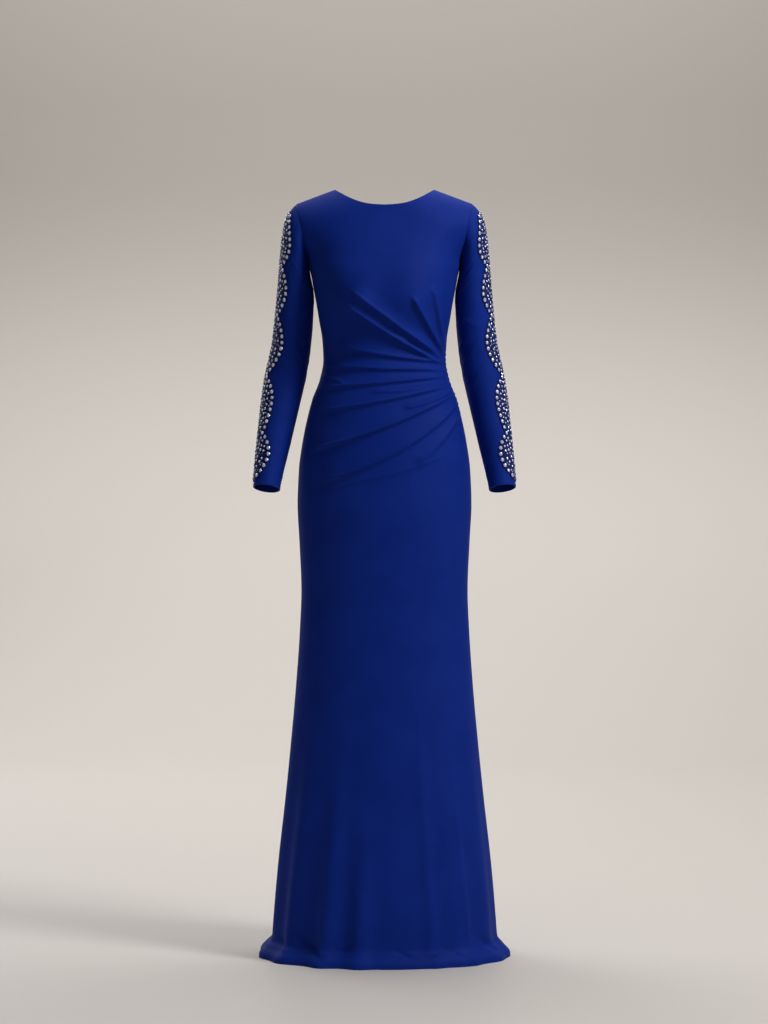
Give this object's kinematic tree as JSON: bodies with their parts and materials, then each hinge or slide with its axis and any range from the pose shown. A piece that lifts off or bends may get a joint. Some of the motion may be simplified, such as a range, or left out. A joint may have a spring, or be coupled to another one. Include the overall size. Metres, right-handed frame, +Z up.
{
  "type": "evening gown",
  "caption": "Floor-length fitted evening gown in blue crepe jersey, ruched into the left side, with long sleeves banded in crystal beadwork and a concealed back zip.",
  "frame": {"origin": "midway between the two neck points of the shoulders, where the wearer holds the gown up", "axes": "+X to the wearer's left, -Y to the front, +Z up"},
  "size_m": [0.516, 0.4451, 1.497],
  "materials": {
    "crepe_jersey": "matte crepe jersey with a soft sheen",
    "beadwork": "clear and silver faceted stones and beads on dark blue cloth",
    "zip_tape": "woven tape with a nylon coil",
    "zip_metal": "blue enamelled metal"
  },
  "bodies": {
    "gown": {"front": "crepe_jersey", "back_left": "crepe_jersey", "back_right": "crepe_jersey", "sleeve_left": "crepe_jersey", "sleeve_right": "crepe_jersey", "beadwork_left": "beadwork", "beadwork_right": "beadwork", "back_zip": "zip_tape", "zip_slider": "zip_metal"},
    "pull": {"zip_pull": "zip_metal"}
  },
  "joints": [
    {"name": "pull_swing", "type": "hinge", "parent": "gown", "child": "pull", "pos_m": [0, 0.06808, -0.03897], "axis": [1, 0, 0], "range_deg": [0, 150]}
  ]
}
